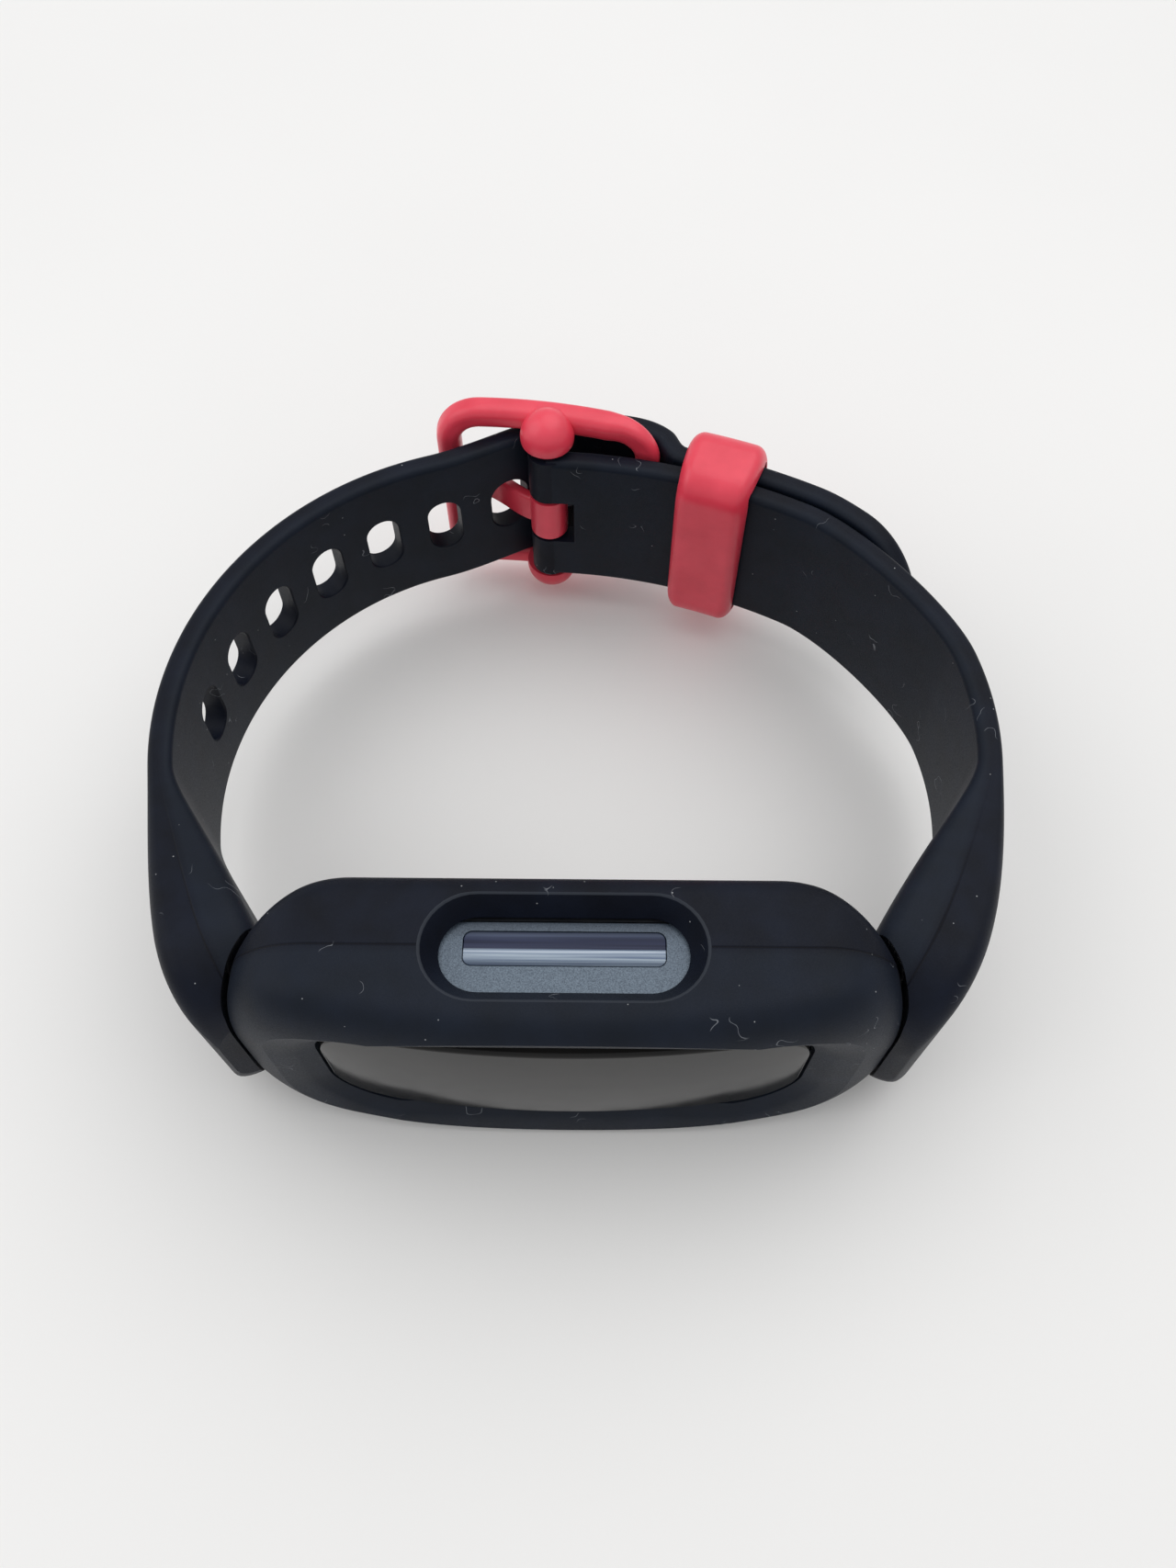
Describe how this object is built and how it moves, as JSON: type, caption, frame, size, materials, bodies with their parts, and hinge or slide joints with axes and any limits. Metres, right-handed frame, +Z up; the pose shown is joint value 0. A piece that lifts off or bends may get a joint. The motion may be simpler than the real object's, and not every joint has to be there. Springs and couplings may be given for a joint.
{
  "type": "fitness tracker band",
  "caption": "Slim fitness tracker in a dark silicone bumper band with a red buckle and keeper loop, fastened and lying on its side.",
  "frame": {"origin": "middle of the bounding box's base, on the surface that the band lies on", "axes": "+X along the bumper, from the holed strap to the buckle strap; +Y from the display towards the buckle; +Z up, across the strap"},
  "size_m": [0.055, 0.0502, 0.0204],
  "materials": {
    "silicone": "matte",
    "red_plastic": "satin",
    "steel": "brushed",
    "dark_glass": "gloss",
    "case_plastic": "fine metallic grain",
    "polished_key": "polished",
    "cover_plastic": "satin",
    "seal_rubber": "matte",
    "gasket_foam": "matte",
    "display_glass": "gloss",
    "flex_film": "satin",
    "board_green": "solder mask",
    "chip_resin": "moulded",
    "gold_plate": "plated",
    "cell_foil": "foil",
    "lead_red": "satin",
    "lead_black": "satin",
    "connector_plastic": "moulded",
    "tungsten": "sintered"
  },
  "bodies": {
    "band": {"bumper_frame": "silicone", "hole_strap": "silicone", "buckle_strap": "silicone"},
    "tracker": {"main_housing": "case_plastic", "rear_cover": "cover_plastic", "front_lens": "dark_glass", "lens_gasket": "gasket_foam", "display_panel": "display_glass", "display_flex": "flex_film", "display_connector": "connector_plastic", "cover_seal": "seal_rubber", "main_board": "board_green", "processor_chip": "chip_resin", "radio_chip": "chip_resin", "memory_chip": "chip_resin", "power_chip": "chip_resin", "motion_sensor": "chip_resin", "crystal": "steel", "antenna": "gold_plate", "battery": "cell_foil", "battery_foam": "gasket_foam", "battery_lead_positive": "lead_red", "battery_lead_negative": "lead_black", "motor_can": "steel", "motor_base": "steel", "motor_shaft": "steel", "key_seal_upper": "seal_rubber", "key_seal_lower": "seal_rubber", "key_switch_upper": "chip_resin", "key_switch_lower": "chip_resin", "charge_contact_left": "gold_plate", "charge_contact_right": "gold_plate", "charge_magnet_left": "steel", "charge_magnet_right": "steel", "board_screw_left": "steel", "board_screw_right": "steel"},
    "motor_weight": {"motor_weight": "tungsten"},
    "key_upper": {"side_key_upper": "polished_key"},
    "key_lower": {"side_key_lower": "polished_key"},
    "buckle_ring": {"buckle_ring": "red_plastic", "pivot_pin": "steel"},
    "buckle_tongue": {"buckle_tongue": "red_plastic"},
    "keeper": {"keeper_loop": "red_plastic"}
  },
  "joints": [
    {"name": "tracker_release", "type": "slide", "parent": "band", "child": "tracker", "axis": [0, 1, 0], "range_m": [0, 0.014], "deforming": ["bumper_frame"]},
    {"name": "key_upper_press", "type": "slide", "parent": "tracker", "child": "key_upper", "axis": [0, 0, -1], "range_m": [0, 0.00025], "stiffness_N_per_m": 500},
    {"name": "key_lower_press", "type": "slide", "parent": "tracker", "child": "key_lower", "axis": [0, 0, 1], "range_m": [0, 0.00025], "stiffness_N_per_m": 500},
    {"name": "motor_spin", "type": "hinge", "parent": "tracker", "child": "motor_weight", "pos_m": [0.00693, -0.01843, 0.0102], "axis": [0, 1, 0], "continuous": true},
    {"name": "buckle_swing", "type": "hinge", "parent": "band", "child": "buckle_ring", "pos_m": [-0.00236, 0.02098, 0.0102], "axis": [0, 0, -1], "range_deg": [0, 2.5]},
    {"name": "tongue_swing", "type": "hinge", "parent": "buckle_ring", "child": "buckle_tongue", "pos_m": [-0.00236, 0.02098, 0.0102], "axis": [0, 0, -1], "range_deg": [0, 2.5]},
    {"name": "keeper_slide", "type": "hinge", "parent": "band", "child": "keeper", "pos_m": [-0.00372, -0.0224, 0.0102], "axis": [0, 0, -1], "range_deg": [0, 5]}
  ]
}
